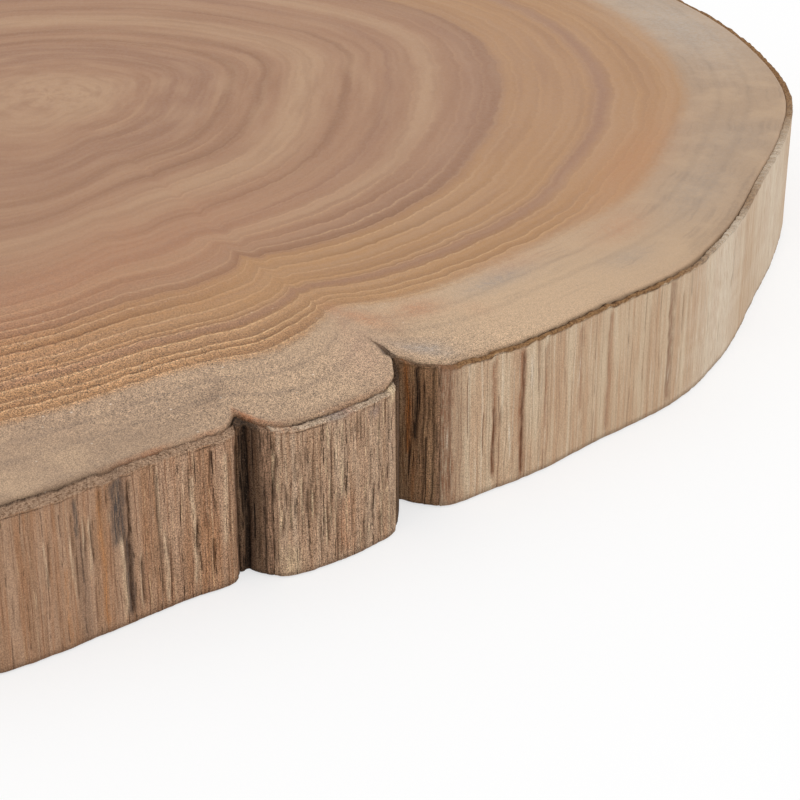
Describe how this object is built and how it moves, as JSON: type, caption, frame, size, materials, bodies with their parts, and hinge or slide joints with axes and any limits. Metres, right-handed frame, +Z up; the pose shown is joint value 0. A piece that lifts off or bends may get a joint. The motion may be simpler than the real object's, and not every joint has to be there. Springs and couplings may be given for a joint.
{
  "type": "cutting board",
  "caption": "Round live-edge cutting board: a flat slice of a fluted teak trunk with lobed sides, a deep fold with a radial crack, and strips of bark left on its natural edge.",
  "frame": {"origin": "under the middle of the board, on its underside", "axes": "+Z up out of the cutting face, -Y towards the front edge with the deep fold and its crack, +X to the right seen from the front"},
  "size_m": [0.3078, 0.3308, 0.0254],
  "materials": {
    "teak": "sanded end grain, lightly oiled, satin",
    "inner_bark": "fibrous, matte, with upright streaks",
    "old_bark": "rough dark bark, matte"
  },
  "bodies": {
    "root": {"teak_slab": "teak", "inner_bark_front_left": "inner_bark", "inner_bark_front": "inner_bark", "inner_bark_right": "inner_bark", "inner_bark_rear_right": "inner_bark", "inner_bark_rear_left": "inner_bark", "inner_bark_left": "inner_bark", "fold_bark_front_shallow": "old_bark", "fold_bark_front_deep_1": "old_bark", "fold_bark_front_deep_2": "old_bark", "fold_bark_right_rear": "old_bark", "fold_bark_rear": "old_bark", "fold_bark_left_rear": "old_bark", "fold_bark_left_front": "old_bark"}
  },
  "joints": []
}
